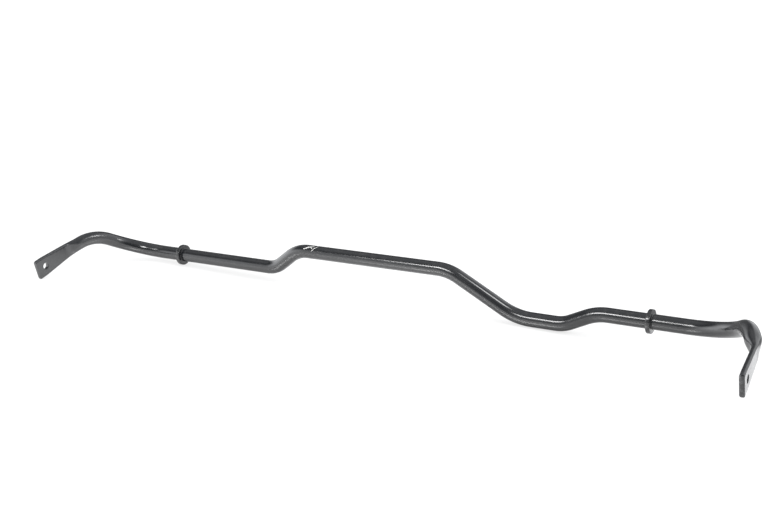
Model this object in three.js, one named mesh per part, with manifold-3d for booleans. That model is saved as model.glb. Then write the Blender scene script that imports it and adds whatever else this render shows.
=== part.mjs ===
// Vehicle sway bar: one round steel bar, cold bent, with both ends forged flat
// and drilled, and two retaining collars that stop it walking through its bushings.
// Millimetres, +Z up. The bar lies at rest on a flat surface, the way it comes to
// rest by itself: on the left end's lower corner, the left collar and the low bend.
import * as THREE from 'three';
import { mergeVertices } from 'three/addons/utils/BufferGeometryUtils.js';
import Module from 'manifold-3d';

const wasm = await Module();
wasm.setup();

// Bar stock
const barDiameter = 22;
const barSides = 24;
const bendStep = 6;

// Ends, the same on both sides. The bushing line is the X axis of the bar.
const elbowOut = 514;
const elbowRadius = 96;
const cornerOut = 557;
const cornerFront = 69;
const cornerRise = 37.6;
const cornerRadius = 68;
const wristOut = 574;
const wristFront = 115.3;
const wristRise = 20.7;
const wristRadius = 40;
const tipOut = 576;
const tipFront = 186.2;
const tipRise = 2.2;

// Raised middle, which steps over what is under the vehicle's floor
const stepFoot = -223;
const stepHead = -177;
const middleEnd = 96;
const middleRise = 35.4;
const stepFootRadius = 44;
const stepHeadRadius = 57;
const middleEndRadius = 78;

// Low stretch between the middle and the right bushing
const lowStart = 208;
const lowEnd = 282;
const lowDrop = 21.9;
const lowFront = 4;
const lowStartRadius = 102;
const lowEndRadius = 54;
const returnOut = 330;
const returnRadius = 75;

// Forged flat ends: full width at the tip, then a taper down to the round bar
const spadeWidth = 33.6;
const spadeThickness = 7;
const spadeEdgeRadius = 2.8;
const spadeCornerRadius = 2.2;
const taperStart = 15;
const taperEnd = 90;
const flatEnd = 65;
const roundStart = 100;
const eyeDiameter = 11;
const eyeFromEnd = 17;
const trimLength = 6;

// Retaining collars
const collarLeft = -419;
const collarRight = 408;
const collarDiameter = 34.6;
const collarWidth = 6.5;
const collarBevel = 0.9;
const collarGap = 0.3;
const collarSides = 40;

// Resting pose: the right end is the higher one
const restTilt = 1.361;

const barRadius = barDiameter / 2;

const vec = (x, y, z) => new THREE.Vector3(x, y, z);

// The stations of a straight stretch between its two ends, both left out
function straightStations(from, to, spacing) {
  const tangent = to.clone().sub(from).normalize();
  const steps = Math.max(1, Math.round(from.distanceTo(to) / spacing));
  const list = [];
  for (let i = 1; i < steps; i += 1) {
    list.push({ point: from.clone().lerp(to, i / steps), tangent });
  }
  return list;
}

// A circular bend that rounds the corner between two straights
function bendAt(before, corner, after, radius) {
  const back = before.clone().sub(corner).normalize();
  const ahead = after.clone().sub(corner).normalize();
  const turn = Math.PI - back.angleTo(ahead);
  const reach = radius * Math.tan(turn / 2);
  const start = corner.clone().addScaledVector(back, reach);
  const end = corner.clone().addScaledVector(ahead, reach);
  const heading = back.clone().negate();
  const inward = ahead.clone().addScaledVector(heading, -ahead.dot(heading)).normalize();
  const steps = Math.max(2, Math.ceil(THREE.MathUtils.radToDeg(turn) / bendStep));
  const stations = [];
  for (let i = 0; i <= steps; i += 1) {
    const angle = (turn * i) / steps;
    const point = start.clone();
    point.addScaledVector(heading, radius * Math.sin(angle));
    point.addScaledVector(inward, radius * (1 - Math.cos(angle)));
    const tangent = heading.clone().multiplyScalar(Math.cos(angle));
    tangent.addScaledVector(inward, Math.sin(angle));
    stations.push({ point, tangent });
  }
  return { start, end, stations };
}

// A curve through given stations, with one extrusion step from each to the next
class StationCurve extends THREE.Curve {
  constructor(stations) {
    super();
    this.stations = stations;
  }

  locate(t) {
    const last = this.stations.length - 1;
    const place = Math.min(Math.max(t, 0), 1) * last;
    const low = Math.min(Math.floor(place + 1e-6), last - 1);
    return { low, part: Math.max(place - low, 0) };
  }

  getPoint(t, target = new THREE.Vector3()) {
    const { low, part } = this.locate(t);
    return target.lerpVectors(this.stations[low].point, this.stations[low + 1].point, part);
  }

  getTangent(t, target = new THREE.Vector3()) {
    const { low, part } = this.locate(t);
    target.lerpVectors(this.stations[low].tangent, this.stations[low + 1].tangent, part);
    return target.normalize();
  }

  getUtoTmapping(u) {
    return u;
  }
}

// Each arm: its tip, and the directions of its flat end's length, thickness and width
function armEnd(side) {
  const tip = vec(side * tipOut, -tipFront, tipRise);
  const wrist = vec(side * wristOut, -wristFront, wristRise);
  const corner = vec(side * cornerOut, -cornerFront, cornerRise);
  const inward = wrist.clone().sub(tip).normalize();
  const thickness = thicknessAt(inward);
  const width = new THREE.Vector3().crossVectors(thickness, inward).normalize();
  const start = tip.clone().addScaledVector(inward, -trimLength);
  return { tip, wrist, corner, inward, thickness, width, start };
}

// The flat end is hammered across the vehicle, so its thickness lies as near to X as it can
function thicknessAt(tangent) {
  return vec(1, 0, 0).addScaledVector(tangent, -tangent.x).normalize();
}

const ends = [armEnd(-1), armEnd(1)];

const bentCorners = [
  { at: ends[0].wrist, radius: wristRadius },
  { at: ends[0].corner, radius: cornerRadius },
  { at: vec(-elbowOut, 0, 0), radius: elbowRadius },
  { at: vec(stepFoot, 0, 0), radius: stepFootRadius },
  { at: vec(stepHead, 0, middleRise), radius: stepHeadRadius },
  { at: vec(middleEnd, 0, middleRise), radius: middleEndRadius },
  { at: vec(lowStart, -lowFront, -lowDrop), radius: lowStartRadius },
  { at: vec(lowEnd, -lowFront, -lowDrop), radius: lowEndRadius },
  { at: vec(returnOut, 0, 0), radius: returnRadius },
  { at: vec(elbowOut, 0, 0), radius: elbowRadius },
  { at: ends[1].corner, radius: cornerRadius },
  { at: ends[1].wrist, radius: wristRadius },
];

// The stations of a flat end from its tip: the rounded corners, the taper, the end of the flat
function spadeStations(end) {
  const distances = [-trimLength, 0];
  for (let i = 1; i <= 3; i += 1) {
    distances.push(spadeCornerRadius * (1 - Math.cos((Math.PI / 6) * i)));
  }
  distances.push(taperStart, flatEnd);
  return distances.map((distance) => ({
    point: end.tip.clone().addScaledVector(end.inward, distance),
    tangent: end.inward,
  }));
}

function barStations() {
  const stations = spadeStations(ends[0]);
  let before = ends[0].start;
  bentCorners.forEach((corner, i) => {
    const after = i + 1 < bentCorners.length ? bentCorners[i + 1].at : ends[1].start;
    const bend = bendAt(before, corner.at, after, corner.radius);
    if (i > 0) {
      const onArm = i === 1 || i === bentCorners.length - 1;
      stations.push(...straightStations(stations.at(-1).point, bend.start, onArm ? 6 : 70));
    }
    stations.push(...bend.stations);
    before = corner.at;
  });
  spadeStations(ends[1]).reverse().forEach((station) => {
    stations.push({ point: station.point, tangent: station.tangent.clone().negate() });
  });
  return stations;
}

// Lengths along the bar from the two tips to each station
function measureFromTips(stations) {
  let run = -trimLength;
  stations.forEach((station, i) => {
    run += i > 0 ? station.point.distanceTo(stations[i - 1].point) : 0;
    station.run = run;
  });
  const total = run - trimLength;
  stations.forEach((station) => {
    station.fromTip = Math.min(station.run, total - station.run);
  });
}

// One quarter of the flat section, from the middle of its edge to the middle of its face
function spadeQuarter(halfWidth, halfThickness) {
  const arcSteps = barSides / 4 - 3;
  const list = [{ across: halfWidth, through: 0 }];
  for (let i = 0; i <= arcSteps; i += 1) {
    const angle = ((Math.PI / 2) * i) / arcSteps;
    list.push({
      across: halfWidth - spadeEdgeRadius * (1 - Math.cos(angle)),
      through: halfThickness - spadeEdgeRadius * (1 - Math.sin(angle)),
    });
  }
  list.push({ across: halfWidth / 2, through: halfThickness });
  list.push({ across: 0, through: halfThickness });
  return list;
}

// Half the width of the forging at a distance from the tip
function halfWidthAt(distance) {
  const taper = THREE.MathUtils.clamp((distance - taperStart) / (taperEnd - taperStart), 0, 1);
  const cut = spadeCornerRadius - THREE.MathUtils.clamp(distance, 0, spadeCornerRadius);
  const corner = spadeCornerRadius - Math.sqrt(spadeCornerRadius ** 2 - cut ** 2);
  return THREE.MathUtils.lerp(spadeWidth / 2, barRadius, taper) - corner;
}

// How far the hammering has gone at a distance from the tip: 1 is flat, 0 is round
function flatnessAt(distance) {
  return 1 - THREE.MathUtils.smoothstep(distance, flatEnd, roundStart);
}

// The point that a point of the round section moves to when the section is forged
function forgedOffset(offset, station) {
  const thickness = thicknessAt(station.tangent);
  const width = new THREE.Vector3().crossVectors(thickness, station.tangent);
  const flatness = flatnessAt(station.fromTip);
  const slice = (2 * Math.PI) / barSides;
  const quarter = barSides / 4;
  const angle = Math.atan2(offset.dot(thickness), offset.dot(width));
  const index = Math.round(angle / slice);
  const held = THREE.MathUtils.lerp(angle, index * slice, flatness);
  const step = THREE.MathUtils.euclideanModulo(index, barSides);
  const turn = Math.floor(step / quarter);
  const place = turn % 2 === 0 ? step % quarter : quarter - (step % quarter);
  const halfWidth = halfWidthAt(station.fromTip);
  const flat = spadeQuarter(halfWidth, spadeThickness / 2)[place];
  const acrossSign = turn === 0 || turn === 3 ? 1 : -1;
  const throughSign = turn < 2 ? 1 : -1;
  const roundAcross = halfWidth * Math.cos(held);
  const roundThrough = barRadius * Math.sin(held);
  const across = THREE.MathUtils.lerp(roundAcross, acrossSign * flat.across, flatness);
  const through = THREE.MathUtils.lerp(roundThrough, throughSign * flat.through, flatness);
  return width.multiplyScalar(across).addScaledVector(thickness, through);
}

// Moves each vertex near the tips from the round section to the forged one
function forgeEnds(position, stations) {
  const forged = stations.filter((station) => station.fromTip < roundStart);
  const vertex = new THREE.Vector3();
  const offset = new THREE.Vector3();
  for (let i = 0; i < position.count; i += 1) {
    vertex.fromBufferAttribute(position, i);
    const station = forged.find((item) => {
      offset.subVectors(vertex, item.point);
      const inPlane = Math.abs(offset.dot(item.tangent)) < 0.01;
      return inPlane && Math.abs(offset.length() - barRadius) < 0.01;
    });
    if (station) {
      vertex.addVectors(station.point, forgedOffset(offset, station));
      position.setXYZ(i, vertex.x, vertex.y, vertex.z);
    }
  }
}

function toSolid(geometry) {
  const bare = geometry.clone();
  bare.deleteAttribute('normal');
  bare.deleteAttribute('uv');
  const merged = mergeVertices(bare, 1e-3);
  return new wasm.Manifold(new wasm.Mesh({
    numProp: 3,
    vertProperties: new Float32Array(merged.attributes.position.array),
    triVerts: new Uint32Array(merged.index.array),
  }));
}

function toGeometry(solid) {
  const mesh = solid.getMesh();
  const geometry = new THREE.BufferGeometry();
  geometry.setAttribute('position', new THREE.BufferAttribute(new Float32Array(mesh.vertProperties), 3));
  geometry.setIndex(new THREE.BufferAttribute(new Uint32Array(mesh.triVerts), 1));
  const faceted = geometry.toNonIndexed();
  faceted.computeVertexNormals();
  return faceted;
}

// A solid placed with its own X, Y and Z along an arm's width, thickness and length
function placeOnArm(geometry, end, distance) {
  const outward = end.inward.clone().negate();
  const across = new THREE.Vector3().crossVectors(end.thickness, outward);
  const basis = new THREE.Matrix4().makeBasis(across, end.thickness, outward);
  basis.setPosition(end.tip.clone().addScaledVector(end.inward, distance));
  return geometry.clone().applyMatrix4(basis);
}

function barGeometry() {
  const stations = barStations();
  measureFromTips(stations);
  const section = new THREE.Shape();
  section.absarc(0, 0, barRadius, 0, 2 * Math.PI, false);
  const swept = new THREE.ExtrudeGeometry(section, {
    extrudePath: new StationCurve(stations),
    steps: stations.length - 1,
    curveSegments: barSides / 2,
    bevelEnabled: false,
  });
  forgeEnds(swept.attributes.position, stations);
  let solid = toSolid(swept);
  ends.forEach((end) => {
    const block = new THREE.BoxGeometry(2 * spadeWidth, 2 * spadeWidth, 2 * trimLength);
    block.translate(0, 0, trimLength);
    const eye = new THREE.CylinderGeometry(eyeDiameter / 2, eyeDiameter / 2, 2 * barDiameter, 32);
    solid = solid.subtract(toSolid(placeOnArm(block, end, 0)));
    solid = solid.subtract(toSolid(placeOnArm(eye, end, eyeFromEnd)));
  });
  return toGeometry(solid);
}

// A plain ring with bevelled edges, turned about the bushing line
function collarGeometry() {
  const inner = barRadius + collarGap;
  const outer = collarDiameter / 2;
  const half = collarWidth / 2;
  const profile = [
    new THREE.Vector2(inner, -half),
    new THREE.Vector2(outer - collarBevel, -half),
    new THREE.Vector2(outer, -half + collarBevel),
    new THREE.Vector2(outer, half - collarBevel),
    new THREE.Vector2(outer - collarBevel, half),
    new THREE.Vector2(inner, half),
    new THREE.Vector2(inner, -half),
  ];
  const ring = new THREE.LatheGeometry(profile, collarSides);
  ring.rotateZ(-Math.PI / 2);
  return toGeometry(toSolid(ring));
}

const blackCoat = { color: 0x17191b, roughness: 0.28, metalness: 0.35 };

function namedMesh(name, geometry, material) {
  const mesh = new THREE.Mesh(geometry, new THREE.MeshStandardMaterial(material));
  mesh.name = name;
  return mesh;
}

const bar = namedMesh('bar', barGeometry(), blackCoat);
const leftCollar = namedMesh('collar_left', collarGeometry(), blackCoat);
leftCollar.position.x = collarLeft;
const rightCollar = namedMesh('collar_right', collarGeometry(), blackCoat);
rightCollar.position.x = collarRight;

const asInstalled = new THREE.Group();
asInstalled.rotation.y = THREE.MathUtils.degToRad(-restTilt);
asInstalled.add(bar, leftCollar, rightCollar);

// The origin is under the middle of the bar's outline, on the surface it lies on
const swayBar = new THREE.Group();
swayBar.add(asInstalled);
swayBar.updateMatrixWorld(true);
const bounds = new THREE.Box3().setFromObject(swayBar, true);
const middle = bounds.getCenter(new THREE.Vector3());
asInstalled.position.set(-middle.x, -middle.y, -bounds.min.z);
swayBar.updateMatrixWorld(true);

export default swayBar;
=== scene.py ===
import math

import bmesh
import bpy
from mathutils import Matrix, Vector


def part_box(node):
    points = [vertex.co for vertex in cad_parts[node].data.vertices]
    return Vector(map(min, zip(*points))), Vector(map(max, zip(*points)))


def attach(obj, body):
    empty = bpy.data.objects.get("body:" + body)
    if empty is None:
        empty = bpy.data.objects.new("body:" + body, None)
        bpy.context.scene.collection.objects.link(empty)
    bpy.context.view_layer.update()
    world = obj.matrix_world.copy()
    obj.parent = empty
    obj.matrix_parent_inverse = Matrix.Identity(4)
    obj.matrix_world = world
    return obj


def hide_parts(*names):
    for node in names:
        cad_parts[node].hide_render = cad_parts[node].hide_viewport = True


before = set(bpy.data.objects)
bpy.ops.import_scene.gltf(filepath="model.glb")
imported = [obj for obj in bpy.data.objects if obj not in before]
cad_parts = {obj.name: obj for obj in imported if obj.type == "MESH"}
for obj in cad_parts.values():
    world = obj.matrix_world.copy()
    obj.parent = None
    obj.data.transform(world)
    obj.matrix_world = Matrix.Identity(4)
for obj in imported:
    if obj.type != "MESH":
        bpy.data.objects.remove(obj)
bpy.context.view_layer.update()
scene = bpy.context.scene
mm = 0.001


def middleOf(node):
    low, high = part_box(node)
    return (low + high) / 2


# the two collars sit on the bushing line, which is the bar's own X axis
collarPlaces = {"left": -419 * mm, "right": 408 * mm}
stockDiameter = 22 * mm
leftMiddle, rightMiddle = middleOf("collar_left"), middleOf("collar_right")
alongLine = (rightMiddle - leftMiddle).normalized()
upFromLine = alongLine.cross(Vector((0, 1, 0))).normalized()
lineOrigin = leftMiddle - alongLine * collarPlaces["left"]
lineAxes = Matrix((alongLine, (0, 1, 0), upFromLine)).transposed()
barFrame = Matrix.Translation(lineOrigin) @ lineAxes.to_4x4()


# gives a socket a link or a plain value, whichever it is handed
def feed(tree, socket, value):
    if isinstance(value, bpy.types.NodeSocket):
        tree.links.new(value, socket)
    elif value is not None:
        socket.default_value = value


def calc(tree, operation, first, second=None):
    node = tree.nodes.new("ShaderNodeMath")
    node.operation = operation
    feed(tree, node.inputs[0], first)
    feed(tree, node.inputs[1], second)
    return node.outputs[0]


def vectorCalc(tree, operation, first, second=None, scale=None):
    node = tree.nodes.new("ShaderNodeVectorMath")
    node.operation = operation
    feed(tree, node.inputs[0], first)
    feed(tree, node.inputs[1], second)
    if scale is not None:
        feed(tree, node.inputs["Scale"], scale)
    return node.outputs[0]


def ramp(tree, value, low, high, start=0.0, end=1.0, smooth=False):
    node = tree.nodes.new("ShaderNodeMapRange")
    node.interpolation_type = "SMOOTHSTEP" if smooth else "LINEAR"
    for socket, given in zip(node.inputs[:5], (value, low, high, start, end)):
        feed(tree, socket, given)
    return node.outputs[0]


def blendOf(tree, factor, first, second):
    difference = calc(tree, "SUBTRACT", second, first)
    return calc(tree, "ADD", first, calc(tree, "MULTIPLY", factor, difference))


def newTree(name, kind, inputs, outputs):
    tree = bpy.data.node_groups.new(name, kind)
    for label, socketType, default in inputs:
        socket = tree.interface.new_socket(label, in_out="INPUT", socket_type=socketType)
        if default is not None:
            socket.default_value = default
    for label, socketType in outputs:
        tree.interface.new_socket(label, in_out="OUTPUT", socket_type=socketType)
    return tree, tree.nodes.new("NodeGroupInput").outputs, tree.nodes.new("NodeGroupOutput").inputs


def runTree(obj, tree, values):
    modifier = obj.modifiers.new(tree.name, "NODES")
    modifier.node_group = tree
    for item in tree.interface.items_tree:
        if item.item_type == "SOCKET" and item.in_out == "INPUT" and item.name in values:
            modifier[item.identifier] = values[item.name]


# turns what the modifiers make into a plain mesh at the origin
def settle(obj, name):
    bpy.context.view_layer.update()
    evaluated = obj.evaluated_get(bpy.context.evaluated_depsgraph_get())
    mesh = bpy.data.meshes.new_from_object(evaluated)
    mesh.name = name
    result = bpy.data.objects.new(name, mesh)
    scene.collection.objects.link(result)
    bpy.data.objects.remove(obj)
    return result


def meshObject(name, bm):
    mesh = bpy.data.meshes.new(name)
    bm.to_mesh(mesh)
    bm.free()
    obj = bpy.data.objects.new(name, mesh)
    scene.collection.objects.link(obj)
    return obj


# smooth faces, with a sharp line only where two faces meet at a real edge
def smoothFaces(obj, angle=32):
    bm = bmesh.new()
    bm.from_mesh(obj.data)
    bmesh.ops.recalc_face_normals(bm, faces=bm.faces)
    for face in bm.faces:
        face.smooth = True
    for edge in bm.edges:
        edge.smooth = edge.is_manifold and edge.calc_face_angle(0) < math.radians(angle)
    bm.to_mesh(obj.data)
    bm.free()


# sizes in millimetres, and the levels of noise between which each effect comes in
surfaceLook = {
    "cloudSize": 38.0, "cloud": (0.35, 0.65),
    "specksPerMetre": 240.0, "speck": (0.05, 0.11),
    "speckPatchSize": 7.0, "speckPatch": (0.58, 0.66),
    "filmSize": 11.0, "film": (0.45, 0.8), "filmMost": 0.25,
    "facingUp": (0.1, 0.9), "dustRoughness": 0.3,
}


# fine orange peel, slow waviness and settled dust, shared by the coated pieces
def buildCoatSurface():
    tree, given, result = newTree("coat surface", "ShaderNodeTree", [
        ("Peel Size", "NodeSocketFloat", 0.9),
        ("Peel Depth", "NodeSocketFloat", 1.0),
        ("Wave Size", "NodeSocketFloat", 24.0),
        ("Wave Depth", "NodeSocketFloat", 1.0),
        ("Gloss Low", "NodeSocketFloat", 0.2),
        ("Gloss High", "NodeSocketFloat", 0.3),
        ("Dust Amount", "NodeSocketFloat", 0.3),
    ], [
        ("Roughness", "NodeSocketFloat"),
        ("Height", "NodeSocketFloat"),
        ("Dust", "NodeSocketFloat"),
    ])
    nodes = tree.nodes
    place = nodes.new("ShaderNodeTexCoord").outputs["Object"]

    def noise(size, detail, roughness=0.5):
        texture = nodes.new("ShaderNodeTexNoise")
        feed(tree, texture.inputs["Vector"], place)
        feed(tree, texture.inputs["Scale"], calc(tree, "DIVIDE", 1000, size))
        feed(tree, texture.inputs["Detail"], detail)
        feed(tree, texture.inputs["Roughness"], roughness)
        return texture.outputs["Fac"]

    peel = calc(tree, "MULTIPLY", noise(given["Peel Size"], 2.0), given["Peel Depth"])
    wave = calc(tree, "MULTIPLY", noise(given["Wave Size"], 1.0), given["Wave Depth"])
    feed(tree, result["Height"], calc(tree, "ADD", peel, wave))

    look = surfaceLook
    cloud = noise(look["cloudSize"], 3.0, 0.6)
    gloss = ramp(tree, cloud, *look["cloud"], given["Gloss Low"], given["Gloss High"], smooth=True)

    specks = nodes.new("ShaderNodeTexVoronoi")
    feed(tree, specks.inputs["Vector"], place)
    feed(tree, specks.inputs["Scale"], look["specksPerMetre"])
    speck = ramp(tree, specks.outputs["Distance"], *look["speck"], 1.0, 0.0, smooth=True)
    patch = ramp(tree, noise(look["speckPatchSize"], 2.0), *look["speckPatch"])
    film = noise(look["filmSize"], 5.0, 0.7)
    film = ramp(tree, film, *look["film"], 0.0, look["filmMost"], smooth=True)
    normal = nodes.new("ShaderNodeNewGeometry").outputs["Normal"]
    split = nodes.new("ShaderNodeSeparateXYZ")
    feed(tree, split.inputs[0], normal)
    facingUp = ramp(tree, split.outputs["Z"], *look["facingUp"], smooth=True)
    lying = calc(tree, "ADD", calc(tree, "MULTIPLY", speck, patch), film)
    dust = calc(tree, "MULTIPLY", calc(tree, "MULTIPLY", lying, facingUp), given["Dust Amount"])
    feed(tree, result["Dust"], dust)
    dulled = calc(tree, "MULTIPLY", dust, look["dustRoughness"])
    feed(tree, result["Roughness"], calc(tree, "ADD", gloss, dulled))
    return tree


# a worn, slightly lighter line where the coat is thin, from an attribute the mesh carries
def buildEdgeWear():
    tree, given, result = newTree("edge wear", "ShaderNodeTree", [
        ("Edge", "NodeSocketFloat", 0.0),
        ("Patch Size", "NodeSocketFloat", 5.0),
        ("Amount", "NodeSocketFloat", 0.5),
    ], [("Wear", "NodeSocketFloat")])
    texture = tree.nodes.new("ShaderNodeTexNoise")
    place = tree.nodes.new("ShaderNodeTexCoord").outputs["Object"]
    feed(tree, texture.inputs["Vector"], place)
    feed(tree, texture.inputs["Scale"], calc(tree, "DIVIDE", 1000, given["Patch Size"]))
    feed(tree, texture.inputs["Detail"], 4.0)
    patches = ramp(tree, texture.outputs["Fac"], 0.5, 0.68, smooth=True)
    narrow = ramp(tree, given["Edge"], 0.7, 1.0, smooth=True)
    worn = calc(tree, "MULTIPLY", calc(tree, "MULTIPLY", patches, narrow), given["Amount"])
    feed(tree, result["Wear"], worn)
    return tree


coatSurface = buildCoatSurface()
edgeWear = buildEdgeWear()

coatLooks = {
    "bar coat": {
        "colour": (0.0036, 0.004, 0.0048, 1), "wearColour": (0.05, 0.052, 0.056, 1),
        "dustColour": (0.3, 0.29, 0.27, 1),
        "values": {"Peel Size": 1.1, "Peel Depth": 0.25, "Wave Size": 26.0, "Wave Depth": 1.0,
                   "Gloss Low": 0.13, "Gloss High": 0.19, "Dust Amount": 0.1},
        "bump": 0.00012, "wear": 0.5,
    },
    "collar coat": {
        "colour": (0.0048, 0.005, 0.0056, 1), "wearColour": (0.06, 0.062, 0.066, 1),
        "dustColour": (0.3, 0.29, 0.27, 1),
        "values": {"Peel Size": 0.8, "Peel Depth": 0.6, "Wave Size": 12.0, "Wave Depth": 0.5,
                   "Gloss Low": 0.16, "Gloss High": 0.24, "Dust Amount": 0.15},
        "bump": 0.00012, "wear": 0.7,
    },
}


def mixColours(tree, factor, first, second):
    node = tree.nodes.new("ShaderNodeMix")
    node.data_type = "RGBA"
    feed(tree, node.inputs["Factor"], factor)
    feed(tree, node.inputs[6], first)
    feed(tree, node.inputs[7], second)
    return node.outputs[2]


# every coat's look, and a mark on it if the piece has one
def buildCoat(name, addMark=None):
    look = coatLooks[name]
    material = bpy.data.materials.new(name)
    material.use_nodes = True
    tree = material.node_tree
    shader = tree.nodes["Principled BSDF"]
    surface = tree.nodes.new("ShaderNodeGroup")
    surface.node_tree = coatSurface
    for label, value in look["values"].items():
        surface.inputs[label].default_value = value
    wear = tree.nodes.new("ShaderNodeGroup")
    wear.node_tree = edgeWear
    wear.inputs["Amount"].default_value = look["wear"]
    edge = tree.nodes.new("ShaderNodeAttribute")
    edge.attribute_name = "edge"
    tree.links.new(edge.outputs["Fac"], wear.inputs["Edge"])
    colour = mixColours(tree, wear.outputs["Wear"], look["colour"], look["wearColour"])
    colour = mixColours(tree, surface.outputs["Dust"], colour, look["dustColour"])
    roughness = surface.outputs["Roughness"]
    if addMark:
        colour, roughness = addMark(tree, colour, roughness)
    tree.links.new(colour, shader.inputs["Base Color"])
    tree.links.new(roughness, shader.inputs["Roughness"])
    bump = tree.nodes.new("ShaderNodeBump")
    bump.inputs["Strength"].default_value = 1.0
    bump.inputs["Distance"].default_value = look["bump"]
    tree.links.new(surface.outputs["Height"], bump.inputs["Height"])
    tree.links.new(bump.outputs["Normal"], shader.inputs["Normal"])
    shader.inputs["IOR"].default_value = 1.6
    shader.inputs["Metallic"].default_value = 0.0
    return material


# a few thin strokes of a white paint pen, on the upper front of the raised middle's left end; each
# has its swing, its turns, its starting angle, its two ends along the bar and its middle around it
penMark = {
    "along": -148 * mm, "up": 35.4 * mm, "facing": 47, "length": 27 * mm, "reach": 6.5 * mm,
    "stroke": 0.26 * mm, "breaksPerMetre": 420.0, "colour": (0.62, 0.62, 0.6, 1), "roughness": 0.25,
    "strokes": [
        (0.5, 0.9, 0.9, -13 * mm, 5 * mm, 1.6 * mm),
        (0.42, 1.2, 2.4, -13 * mm, 3 * mm, 0.2 * mm),
        (1.3, 0.62, -0.9, 3 * mm, 12 * mm, 0.2 * mm),
    ],
}


def addPenStrokes(tree, colour, roughness):
    place = tree.nodes.new("ShaderNodeTexCoord").outputs["Object"]
    mapping = tree.nodes.new("ShaderNodeMapping")
    mapping.vector_type = "TEXTURE"
    feed(tree, mapping.inputs["Vector"], place)
    middle = Vector((penMark["along"], 0, penMark["up"]))
    mapping.inputs["Location"].default_value = barFrame @ middle
    mapping.inputs["Rotation"].default_value = barFrame.to_euler()
    split = tree.nodes.new("ShaderNodeSeparateXYZ")
    feed(tree, split.inputs[0], mapping.outputs[0])
    x, y, z = split.outputs
    angle = calc(tree, "ARCTAN2", z, calc(tree, "MULTIPLY", y, -1.0))
    angle = calc(tree, "SUBTRACT", angle, math.radians(penMark["facing"]))
    around = calc(tree, "MULTIPLY", angle, stockDiameter / 2)

    # a stroke is a thin line that swings across the bar as it runs along it
    def stroke(swing, turns, start, fromX, toX, centre):
        reach, rate = swing * penMark["reach"], 2 * math.pi * turns / penMark["length"]
        phase = calc(tree, "ADD", calc(tree, "MULTIPLY", x, rate), start)
        line = calc(tree, "MULTIPLY", calc(tree, "SINE", phase), reach)
        line = calc(tree, "ADD", line, centre)
        slope = calc(tree, "MULTIPLY", calc(tree, "COSINE", phase), reach * rate)
        lean = calc(tree, "ADD", calc(tree, "MULTIPLY", slope, slope), 1.0)
        gap = calc(tree, "ABSOLUTE", calc(tree, "SUBTRACT", around, line))
        gap = calc(tree, "DIVIDE", gap, calc(tree, "SQRT", lean))
        drawn = ramp(tree, gap, penMark["stroke"] * 0.7, penMark["stroke"] * 1.3, 1.0, 0.0)
        fromMiddle = calc(tree, "ABSOLUTE", calc(tree, "SUBTRACT", x, (fromX + toX) / 2))
        inside = calc(tree, "LESS_THAN", fromMiddle, (toX - fromX) / 2)
        return calc(tree, "MULTIPLY", drawn, inside)

    strokes = 0.0
    for given in penMark["strokes"]:
        strokes = calc(tree, "MAXIMUM", strokes, stroke(*given))
    broken = tree.nodes.new("ShaderNodeTexNoise")
    feed(tree, broken.inputs["Vector"], place)
    broken.inputs["Scale"].default_value = penMark["breaksPerMetre"]
    paint = calc(tree, "MULTIPLY", strokes, ramp(tree, broken.outputs["Fac"], 0.3, 0.42))
    matter = calc(tree, "MULTIPLY", paint, penMark["roughness"])
    return mixColours(tree, paint, colour, penMark["colour"]), calc(tree, "ADD", roughness, matter)


barCoat = buildCoat("bar coat", addPenStrokes)
collarCoat = buildCoat("collar coat")
print("finishes built")


# corners of the line in millimetres from the middle of the bushing line, each with its bend radius
barLine = [
    ((-576, -186.2, 2.2), 0),
    ((-574, -115.3, 20.7), 40),
    ((-557, -69, 37.6), 68),
    ((-514, 0, 0), 96),
    ((-223, 0, 0), 44),
    ((-177, 0, 35.4), 57),
    ((96, 0, 35.4), 78),
    ((208, -3.9, -21.9), 102),
    ((282, -3.9, -21.9), 54),
    ((330, 0, 0), 75),
    ((514, 0, 0), 96),
    ((557, -69, 37.6), 68),
    ((574, -115.3, 20.7), 40),
    ((576, -186.2, 2.2), 0),
]
# how far apart the sweep's sections are: degrees of a bend, millimetres anywhere else
lineSteps = {"bend": 1.6, "straight": 9.0, "forged": 1.5, "closest": 0.02,
             "tip": [0.06, 0.16, 0.3, 0.48, 0.7, 1.0, 1.35, 1.75, 2.2]}


# the straights and arcs that the line is made of, each with its length last
def tracePieces():
    pieces = []
    last = Vector(barLine[0][0])
    for (before, _), (corner, radius), (after, _) in zip(barLine, barLine[1:], barLine[2:]):
        corner = Vector(corner)
        back = (Vector(before) - corner).normalized()
        ahead = (Vector(after) - corner).normalized()
        turn = math.pi - back.angle(ahead)
        reach = radius * math.tan(turn / 2)
        start = corner + back * reach
        heading = -back
        inward = (ahead - heading * ahead.dot(heading)).normalized()
        pieces.append(("straight", last, start, (start - last).length))
        pieces.append(("bend", start, heading, inward, radius, turn, radius * turn))
        last = corner + ahead * reach
    end = Vector(barLine[-1][0])
    pieces.append(("straight", last, end, (end - last).length))
    return pieces


linePieces = tracePieces()
lineLength = sum(piece[-1] for piece in linePieces)


# the point on the line at a distance from its left end, and the line's heading there
def lineAt(distance):
    for piece in linePieces:
        if distance <= piece[-1] or piece is linePieces[-1]:
            if piece[0] == "straight":
                _, start, end, _ = piece
                heading = (end - start).normalized()
                return start + heading * distance, heading
            _, start, heading, inward, radius, _, _ = piece
            angle = distance / radius
            ahead, aside = radius * math.sin(angle), radius * (1 - math.cos(angle))
            turned = (heading * math.cos(angle) + inward * math.sin(angle)).normalized()
            return start + heading * ahead + inward * aside, turned
        distance -= piece[-1]


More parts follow.
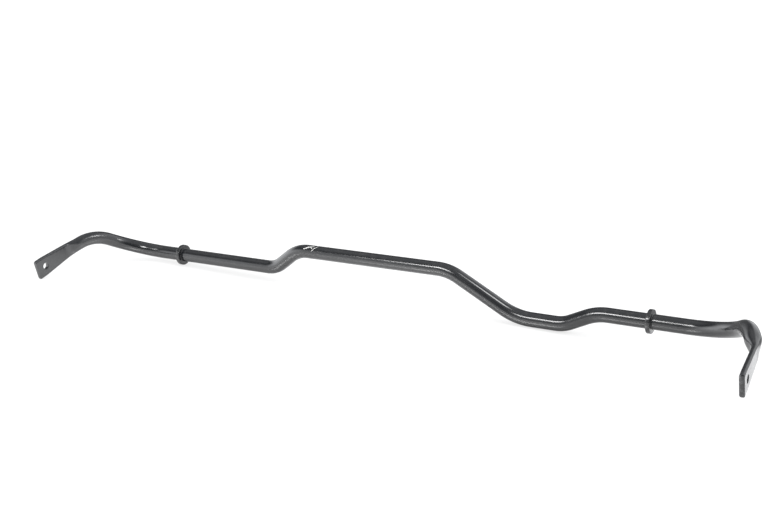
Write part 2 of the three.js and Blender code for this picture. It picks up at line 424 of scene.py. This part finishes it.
# where the sweep has its sections, closer together on the forged ends and in the bends
def lineDistances(forgedEnd):
    marks = {0.0, lineLength}
    for step in lineSteps["tip"]:
        marks.update((step, lineLength - step))
    count = int(forgedEnd / lineSteps["forged"])
    for i in range(2, count):
        step = forgedEnd * i / count
        marks.update((step, lineLength - step))
    run = 0.0
    for piece in linePieces:
        isBend = piece[0] == "bend"
        fine = math.radians(lineSteps["bend"]) * piece[4] if isBend else lineSteps["straight"]
        steps = max(1, round(piece[-1] / fine))
        for i in range(steps + 1):
            mark = run + piece[-1] * i / steps
            if forgedEnd <= mark <= lineLength - forgedEnd:
                marks.add(mark)
        run += piece[-1]
    ordered = sorted(marks)
    following = ordered[1:] + [math.inf]
    return [mark for mark, after in zip(ordered, following) if after - mark > lineSteps["closest"]]


barSizes = {
    "Stock Diameter": stockDiameter, "Flat Width": 33.6 * mm, "Flat Thickness": 7 * mm,
    "Long Edge Radius": 2.8 * mm, "Corner Radius": 2.2 * mm, "End Edge Radius": 0.7 * mm,
    "Taper Start": 15 * mm, "Taper End": 90 * mm, "Flat End": 65 * mm, "Round Start": 100 * mm,
    "Sides": 72,
}
eye = {"fromEnd": 17 * mm, "diameter": 11 * mm, "rim": 0.5 * mm, "segments": 64,
       "cutPast": 2 * mm, "cutWider": 0.4 * mm}


# the flat lies across the vehicle, so its thickness stays as near to X as the line lets it
def thicknessAt(heading):
    return (Vector((1, 0, 0)) - heading * heading.x).normalized()


# the line as a chain of edges that carries, at each point, the two directions of the section
def buildSpine():
    forged = barSizes["Round Start"] / mm
    distances = lineDistances(forged)
    points, headings = zip(*(lineAt(d) for d in distances))
    through = []
    for i, heading in enumerate(headings):
        if distances[i] <= forged:
            through.append(thicknessAt(heading))
            continue
        carried = through[-1].copy()
        carried.rotate(headings[i - 1].rotation_difference(heading))
        through.append((carried - heading * carried.dot(heading)).normalized())
    # the directions carried along the bends meet the other flat end by a slow turn over the round
    # length
    firstFlat = next(i for i, d in enumerate(distances) if d >= lineLength - forged)
    wanted = thicknessAt(headings[firstFlat])
    axis = headings[firstFlat]
    turn = math.atan2(axis.dot(through[firstFlat].cross(wanted)), through[firstFlat].dot(wanted))
    if abs(turn) > math.pi / 2:
        turn -= math.copysign(math.pi, turn)
    sense = 1 if through[firstFlat].dot(Matrix.Rotation(-turn, 3, axis) @ wanted) > 0 else -1
    bm = bmesh.new()
    layers = {name: bm.verts.layers.float_vector.new(name) for name in ("through", "across")}
    tipLayer = bm.verts.layers.float.new("fromTip")
    before = None
    for i, (distance, point, heading) in enumerate(zip(distances, points, headings)):
        if i >= firstFlat:
            normal = thicknessAt(heading) * sense
        else:
            share = max(0.0, (distance - forged) / (lineLength - 2 * forged))
            normal = Matrix.Rotation(turn * share, 3, heading) @ through[i]
        vert = bm.verts.new(barFrame @ (point * mm))
        vert[layers["through"]] = barFrame.to_3x3() @ normal
        vert[layers["across"]] = barFrame.to_3x3() @ normal.cross(heading)
        vert[tipLayer] = min(distance, lineLength - distance) * mm
        if before:
            bm.edges.new((before, vert))
        before = vert
    return meshObject("spine", bm)


# sweeps a section along the spine: round in the middle, hammered to a rounded rectangle at the ends
def buildBarSweep():
    tree, given, result = newTree("forged bar sweep", "GeometryNodeTree", [
        ("Geometry", "NodeSocketGeometry", None),
        *[(label, "NodeSocketInt" if label == "Sides" else "NodeSocketFloat", value)
          for label, value in barSizes.items()],
        ("Finish", "NodeSocketMaterial", None),
    ], [("Geometry", "NodeSocketGeometry")])
    nodes, links = tree.nodes, tree.links

    def captured(geometry, kind, value):
        node = nodes.new("GeometryNodeCaptureAttribute")
        node.capture_items.new(kind, "kept")
        links.new(geometry, node.inputs[0])
        links.new(value, node.inputs[1])
        return node.outputs[0], node.outputs[1]

    def named(label, kind):
        node = nodes.new("GeometryNodeInputNamedAttribute")
        node.data_type = kind
        node.inputs["Name"].default_value = label
        return node.outputs[0]

    toCurve = nodes.new("GeometryNodeMeshToCurve")
    links.new(given["Geometry"], toCurve.inputs[0])
    position = nodes.new("GeometryNodeInputPosition").outputs[0]
    spine, centre = captured(toCurve.outputs[0], "VECTOR", position)

    circle = nodes.new("GeometryNodeCurvePrimitiveCircle")
    links.new(given["Sides"], circle.inputs["Resolution"])
    circle.inputs["Radius"].default_value = 0.01
    share = calc(tree, "DIVIDE", nodes.new("GeometryNodeInputIndex").outputs[0], given["Sides"])
    section, around = captured(circle.outputs["Curve"], "FLOAT", share)

    sweep = nodes.new("GeometryNodeCurveToMesh")
    links.new(spine, sweep.inputs["Curve"])
    links.new(section, sweep.inputs["Profile Curve"])
    sweep.inputs["Fill Caps"].default_value = True

    # which quarter of the section a point is in, and how far along it: 0 in the middle of the edge,
    # 1 in the middle of the face
    quarters = calc(tree, "MULTIPLY", around, 4.0)
    triangle = calc(tree, "PINGPONG", quarters, 1.0)
    angle = calc(tree, "MULTIPLY", around, 2 * math.pi)
    cosine, sine = calc(tree, "COSINE", angle), calc(tree, "SINE", angle)
    acrossSign, throughSign = calc(tree, "SIGN", cosine), calc(tree, "SIGN", sine)

    fromTip = named("fromTip", "FLOAT")
    stock = calc(tree, "MULTIPLY", given["Stock Diameter"], 0.5)

    # how much a rounded end takes off at this distance from the tip
    def endRounding(radius):
        left = calc(tree, "SUBTRACT", radius, calc(tree, "MINIMUM", fromTip, radius))
        whole = calc(tree, "MULTIPLY", radius, radius)
        inner = calc(tree, "SUBTRACT", whole, calc(tree, "MULTIPLY", left, left))
        return calc(tree, "SUBTRACT", radius, calc(tree, "SQRT", calc(tree, "MAXIMUM", inner, 0.0)))

    taper = ramp(tree, fromTip, given["Taper Start"], given["Taper End"])
    flat = ramp(tree, fromTip, given["Flat End"], given["Round Start"], 1.0, 0.0, smooth=True)
    width = blendOf(tree, taper, calc(tree, "MULTIPLY", given["Flat Width"], 0.5), stock)
    width = calc(tree, "SUBTRACT", width, endRounding(given["Corner Radius"]))
    depth = calc(tree, "MULTIPLY", given["Flat Thickness"], 0.5)
    depth = calc(tree, "SUBTRACT", depth, endRounding(given["End Edge Radius"]))
    radius = calc(tree, "MINIMUM", given["Long Edge Radius"], depth)

    up = ramp(tree, triangle, 0.0, 0.1)
    turned = calc(tree, "MULTIPLY", ramp(tree, triangle, 0.1, 0.55), math.pi / 2)
    over = ramp(tree, triangle, 0.55, 1.0)
    inwards = calc(tree, "SUBTRACT", 1.0, calc(tree, "COSINE", turned))
    flatX = calc(tree, "SUBTRACT", width, calc(tree, "MULTIPLY", radius, inwards))
    acrossFace = calc(tree, "MULTIPLY", calc(tree, "SUBTRACT", width, radius), over)
    flatX = calc(tree, "SUBTRACT", flatX, acrossFace)
    flatY = calc(tree, "MULTIPLY", calc(tree, "SUBTRACT", depth, radius), up)
    flatY = calc(tree, "ADD", flatY, calc(tree, "MULTIPLY", radius, calc(tree, "SINE", turned)))
    roundX, roundY = calc(tree, "MULTIPLY", width, cosine), calc(tree, "MULTIPLY", stock, sine)
    x = blendOf(tree, flat, roundX, calc(tree, "MULTIPLY", flatX, acrossSign))
    y = blendOf(tree, flat, roundY, calc(tree, "MULTIPLY", flatY, throughSign))

    across = vectorCalc(tree, "SCALE", named("across", "FLOAT_VECTOR"), scale=x)
    through = vectorCalc(tree, "SCALE", named("through", "FLOAT_VECTOR"), scale=y)
    place = vectorCalc(tree, "ADD", vectorCalc(tree, "ADD", across, through), centre)
    shaped = nodes.new("GeometryNodeSetPosition")
    links.new(sweep.outputs[0], shaped.inputs["Geometry"])
    links.new(place, shaped.inputs["Position"])

    # the rounded long edges carry a mask for wear
    fromRidge = calc(tree, "ABSOLUTE", calc(tree, "SUBTRACT", triangle, 0.33))
    ridge = ramp(tree, fromRidge, 0.0, 0.24, 1.0, 0.0)
    nearEnd = ramp(tree, fromTip, 0.0, 1.6 * mm, 1.0, 0.0)
    edgeMask = calc(tree, "MAXIMUM", calc(tree, "MULTIPLY", ridge, flat), nearEnd)
    stored = nodes.new("GeometryNodeStoreNamedAttribute")
    stored.data_type = "FLOAT"
    stored.domain = "POINT"
    links.new(shaped.outputs[0], stored.inputs["Geometry"])
    stored.inputs["Name"].default_value = "edge"
    links.new(edgeMask, stored.inputs["Value"])

    realized = nodes.new("GeometryNodeRealizeInstances")
    links.new(stored.outputs[0], realized.inputs[0])
    finish = nodes.new("GeometryNodeSetMaterial")
    links.new(realized.outputs[0], finish.inputs["Geometry"])
    links.new(given["Finish"], finish.inputs["Material"])
    links.new(finish.outputs[0], result["Geometry"])
    return tree


# a closed solid turned about an axis, from (distance along, radius) pairs
def turnedSolid(name, profile, start, axis, segments, closed=False):
    bm = bmesh.new()
    side = axis.orthogonal().normalized()
    other = axis.cross(side)
    rings = []
    for along, radius in profile:
        ring = []
        for i in range(segments):
            angle = 2 * math.pi * i / segments
            outwards = side * math.cos(angle) + other * math.sin(angle)
            ring.append(bm.verts.new(start + axis * along + outwards * radius))
        rings.append(ring)
    pairs = list(zip(rings, rings[1:]))
    if closed:
        pairs.append((rings[-1], rings[0]))
    else:
        bm.faces.new(rings[0])
        bm.faces.new(rings[-1])
    for first, second in pairs:
        for i in range(segments):
            j = (i + 1) % segments
            bm.faces.new((first[i], first[j], second[j], second[i]))
    bmesh.ops.recalc_face_normals(bm, faces=bm.faces)
    return meshObject(name, bm)


# the tool for one eye: its hole, opening out along a rounded rim at both faces
def eyeCutter(side):
    distance = eye["fromEnd"] / mm
    point, heading = lineAt(distance if side < 0 else lineLength - distance)
    axis = (barFrame.to_3x3() @ thicknessAt(heading)).normalized()
    half = barSizes["Flat Thickness"] / 2
    radius, rim = eye["diameter"] / 2, eye["rim"]
    arc = [(half - rim * (1 - math.sin(a)), radius + rim * (1 - math.cos(a)))
           for a in (0, math.pi / 6, math.pi / 3, math.pi / 2)]
    past, widest = half + eye["cutPast"], radius + rim + eye["cutWider"]
    profile = [(-past, widest)]
    profile += [(-along, r) for along, r in reversed(arc)]
    profile += arc
    profile.append((past, widest))
    return turnedSolid("eyeCutter", profile, barFrame @ (point * mm), axis, eye["segments"])


spine = buildSpine()
runTree(spine, buildBarSweep(), {**barSizes, "Finish": barCoat})
bar = settle(spine, "forgedBar")
smoothFaces(bar)
for side in (-1, 1):
    cutter = eyeCutter(side)
    cut = bar.modifiers.new("eye", "BOOLEAN")
    cut.operation = "DIFFERENCE"
    cut.solver = "EXACT"
    cut.object = cutter
    bar = settle(bar, "forgedBar")
    bpy.data.objects.remove(cutter)
bar.data.materials.clear()
bar.data.materials.append(barCoat)
smoothFaces(bar)
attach(bar, "root")
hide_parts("bar")
print("bar built", len(bar.data.polygons), "faces")


collar = {"diameter": 34.6 * mm, "width": 6.5 * mm, "edge": 1.0 * mm, "fillet": 0.7 * mm,
          "intoBar": 0.15 * mm, "segments": 128}


# one half from the bore outwards, then its mirror image; the coat has run into a small fillet where
# the ring meets the bar
def collarProfile():
    stock = stockDiameter / 2
    outer, half = collar["diameter"] / 2, collar["width"] / 2
    edge, fillet = collar["edge"], collar["fillet"]
    steps = [math.pi / 2 * i / 6 for i in range(7)]
    rise = [(half + fillet * (1 - math.sin(a)), stock + fillet * (1 - math.cos(a))) for a in steps]
    crest = [(half - edge * (1 - math.cos(a)), outer - edge * (1 - math.sin(a))) for a in steps]
    right = [(half + fillet, stock - collar["intoBar"])] + rise + crest
    left = [(-along, radius) for along, radius in reversed(right)]
    return right + left


for side, name in (("left", "collar_left"), ("right", "collar_right")):
    ring = turnedSolid(side + "Collar", collarProfile(), middleOf(name), alongLine,
                       collar["segments"], closed=True)
    smoothFaces(ring, 40)
    ring.data.materials.append(collarCoat)
    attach(ring, "root")
    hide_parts(name)
print("collars built")


# the floor is a white glossy table; to the bar's gloss its colour has painted shade, darker on the
# right where less light falls, and it is darker past its rear edge; seen straight on it is nearly
# even, with only a faint shadow
floorLook = {
    "radius": 40, "drop": 0.4 * mm, "glow": 0.72, "seen": 0.12, "gloss": 0.45, "roughness": 0.3,
    "paintedShadeEdge": (0.02, 0.18), "leftPaintedShade": 0.72, "rightPaintedShade": 0.52,
    "rearEdge": (0.15, 0.24), "rearShade": 0.14, "rearGloss": 0.55,
}


def buildFloor():
    look = floorLook
    bpy.ops.mesh.primitive_circle_add(vertices=96, radius=look["radius"], fill_type="NGON",
                                      location=(0, 0, -look["drop"]))
    floor = bpy.context.object
    floor.name = "studioFloor"
    material = bpy.data.materials.new("pale floor")
    material.use_nodes = True
    tree = material.node_tree
    plain = tree.nodes["Principled BSDF"]
    plain.inputs["Base Color"].default_value = (look["seen"],) * 3 + (1,)
    plain.inputs["Roughness"].default_value = 0.9
    plain.inputs["Specular IOR Level"].default_value = 0.0
    plain.inputs["Emission Color"].default_value = (1, 1, 1, 1)
    plain.inputs["Emission Strength"].default_value = look["glow"]
    split = tree.nodes.new("ShaderNodeSeparateXYZ")
    tree.links.new(tree.nodes.new("ShaderNodeTexCoord").outputs["Object"], split.inputs[0])
    x, y, _ = split.outputs
    # painted shade: the floor's colour as the gloss sees it darkens towards the right, standing in
    # for less light there
    shade = ramp(tree, x, *look["paintedShadeEdge"], look["leftPaintedShade"], look["rightPaintedShade"], smooth=True)
    rear = ramp(tree, y, *look["rearEdge"], 1.0, look["rearShade"], smooth=True)
    matt = tree.nodes.new("ShaderNodeBsdfDiffuse")
    tree.links.new(calc(tree, "MULTIPLY", shade, rear), matt.inputs["Color"])
    glossy = tree.nodes.new("ShaderNodeBsdfGlossy")
    rearGloss = ramp(tree, y, *look["rearEdge"], 1.0, look["rearGloss"], smooth=True)
    tree.links.new(rearGloss, glossy.inputs["Color"])
    glossy.inputs["Roughness"].default_value = look["roughness"]
    polished = tree.nodes.new("ShaderNodeMixShader")
    polished.inputs[0].default_value = look["gloss"]
    tree.links.new(matt.outputs[0], polished.inputs[1])
    tree.links.new(glossy.outputs[0], polished.inputs[2])
    mix = tree.nodes.new("ShaderNodeMixShader")
    tree.links.new(tree.nodes.new("ShaderNodeLightPath").outputs["Is Camera Ray"], mix.inputs[0])
    tree.links.new(polished.outputs[0], mix.inputs[1])
    tree.links.new(plain.outputs[0], mix.inputs[2])
    tree.links.new(mix.outputs[0], tree.nodes["Material Output"].inputs["Surface"])
    floor.data.materials.append(material)


# the sky light fills the floor and makes the soft shadows; the boxes are what the gloss shows, each
# turned from its middle towards its aim, with a narrow spread in degrees
skyLight = {"from": (0.3, -0.1, 0.95), "strength": 9.5, "angle": 130}
boxes = {
    "farLeft": {"middle": (-1.68, -2.75, 2.35), "aim": (0.05, 0.08, 0.06),
                "size": (0.47, 0.8), "radiance": 31, "spread": 24},
    "farMiddle": {"middle": (-1.21, -2.75, 2.35), "aim": (0.25, 0.08, 0.05),
                  "size": (0.47, 0.8), "radiance": 24, "spread": 24},
    "farRight": {"middle": (-0.74, -2.75, 2.35), "aim": (0.36, 0.08, 0.05),
                 "size": (0.48, 0.8), "radiance": 23, "spread": 24},
    "slopeLamp": {"middle": (0.265, -0.008, 0.44), "aim": (0.185, 0.077, 0.035),
                  "size": (0.09, 0.2), "radiance": 16, "spread": 26},
    "elbowLamp": {"middle": (0.135, 0.012, 0.707), "aim": (-0.556, -0.03, 0.05),
                  "size": (0.2, 0.24), "radiance": 46, "spread": 10},
    "leftLamp": {"middle": (-0.382, -0.538, 0.529), "aim": (-0.494, 0.07, 0.025),
                 "size": (0.13, 0.26), "radiance": 32, "spread": 30},
}


def buildLights():
    data = bpy.data.lights.new("skyLight", "SUN")
    data.energy = skyLight["strength"]
    data.angle = math.radians(skyLight["angle"])
    sky = bpy.data.objects.new("skyLight", data)
    sky.rotation_euler = Vector(skyLight["from"]).to_track_quat("Z", "Y").to_euler()
    sky.visible_glossy = False
    scene.collection.objects.link(sky)
    for name, box in boxes.items():
        data = bpy.data.lights.new(name, "AREA")
        data.shape = "RECTANGLE"
        data.size, data.size_y = box["size"]
        data.spread = math.radians(box["spread"])
        # a lamp with a narrow spread is brighter on its axis by this much
        half = math.radians(box["spread"] / 2)
        narrowing = math.tan(half) / (math.tan(half) - half)
        data.energy = box["radiance"] * math.pi * box["size"][0] * box["size"][1] / narrowing
        obj = bpy.data.objects.new(name, data)
        back = (Vector(box["middle"]) - Vector(box["aim"])).normalized()
        right = Vector((-back.y, back.x, 0)).normalized()
        axes = Matrix((right, back.cross(right), back)).transposed().to_4x4()
        obj.matrix_world = Matrix.Translation(box["middle"]) @ axes
        scene.collection.objects.link(obj)


# a dim room with a bright wall low on the left and a pale side from the right round to the rear;
# an edge is where a side fades in, along X, Y or Z of the direction looked in
surround = {
    "base": 0.2, "left": 3.0, "frontLeft": 0.6, "rightRear": 1.25, "overhead": 0.5, "seen": 1.1,
    "lowEdge": (0.3, 0.62), "leftEdge": (-0.9, -0.4), "leftEnd": (0.1, 0.9),
    "frontEdge": (-0.35, 0.0), "frontEnd": (-0.4, 0.0),
    "rearSide": (0.8, 0.6), "rearEdge": (0.3, 0.55),
    "overheadEdge": (0.6, 0.85), "colour": (0.985, 1.0, 1.02, 1),
}


def buildSurround():
    look = surround
    world = bpy.data.worlds.new("surround")
    scene.world = world
    world.use_nodes = True
    tree = world.node_tree
    background = tree.nodes["Background"]
    split = tree.nodes.new("ShaderNodeSeparateXYZ")
    tree.links.new(tree.nodes.new("ShaderNodeTexCoord").outputs["Generated"], split.inputs[0])
    x, y, z = split.outputs
    low = ramp(tree, z, *look["lowEdge"], 1.0, 0.0, smooth=True)
    left = calc(tree, "MULTIPLY", ramp(tree, x, *look["leftEdge"], look["left"], 0.0), low)
    left = calc(tree, "MULTIPLY", left, ramp(tree, y, *look["leftEnd"], 1.0, 0.0, smooth=True))
    frontLeft = ramp(tree, x, *look["frontEdge"], look["frontLeft"], 0.0)
    frontLeft = calc(tree, "MULTIPLY", frontLeft, low)
    frontLeft = calc(tree, "MULTIPLY", frontLeft, ramp(tree, y, *look["frontEnd"], 1.0, 0.0))
    right, rear = look["rearSide"]
    aside = calc(tree, "ADD", calc(tree, "MULTIPLY", x, right), calc(tree, "MULTIPLY", y, rear))
    rightRear = ramp(tree, aside, *look["rearEdge"], 0.0, look["rightRear"], smooth=True)
    top = look["base"] + look["overhead"]
    overhead = ramp(tree, z, *look["overheadEdge"], look["base"], top, smooth=True)
    leftSide = calc(tree, "ADD", left, frontLeft)
    level = calc(tree, "ADD", leftSide, calc(tree, "ADD", rightRear, overhead))
    direct = tree.nodes.new("ShaderNodeLightPath").outputs["Is Camera Ray"]
    tree.links.new(blendOf(tree, direct, level, look["seen"]), background.inputs["Strength"])
    background.inputs["Color"].default_value = look["colour"]


# where the camera stands from the middle of the bushing line, its angles in degrees and its lens
viewpoint = {"fromLine": (0.8402, -1.4753, 0.5505), "turn": 29.99, "down": 16.83, "roll": -0.47,
             "lens": 53.34}


def buildCamera():
    turn, down, roll = (math.radians(viewpoint[key]) for key in ("turn", "down", "roll"))
    right = Vector((math.cos(turn), math.sin(turn), 0))
    level = Vector((-math.sin(turn), math.cos(turn), 0))
    ahead = level * math.cos(down) - Vector((0, 0, math.sin(down)))
    up = right.cross(ahead)
    tiltedRight = right * math.cos(roll) + up * math.sin(roll)
    tiltedUp = up * math.cos(roll) - right * math.sin(roll)
    data = bpy.data.cameras.new("camera")
    data.lens = viewpoint["lens"]
    data.sensor_width = 36
    data.sensor_fit = "HORIZONTAL"
    data.clip_start, data.clip_end = 0.05, 200
    camera = bpy.data.objects.new("camera", data)
    camera.matrix_world = (Matrix.Translation(lineOrigin + Vector(viewpoint["fromLine"]))
                           @ Matrix((tiltedRight, tiltedUp, -ahead)).transposed().to_4x4())
    scene.collection.objects.link(camera)
    scene.camera = camera


buildFloor()
buildLights()
buildSurround()
buildCamera()
scene.view_settings.view_transform = "Standard"
scene.view_settings.look = "None"
print("studio built")
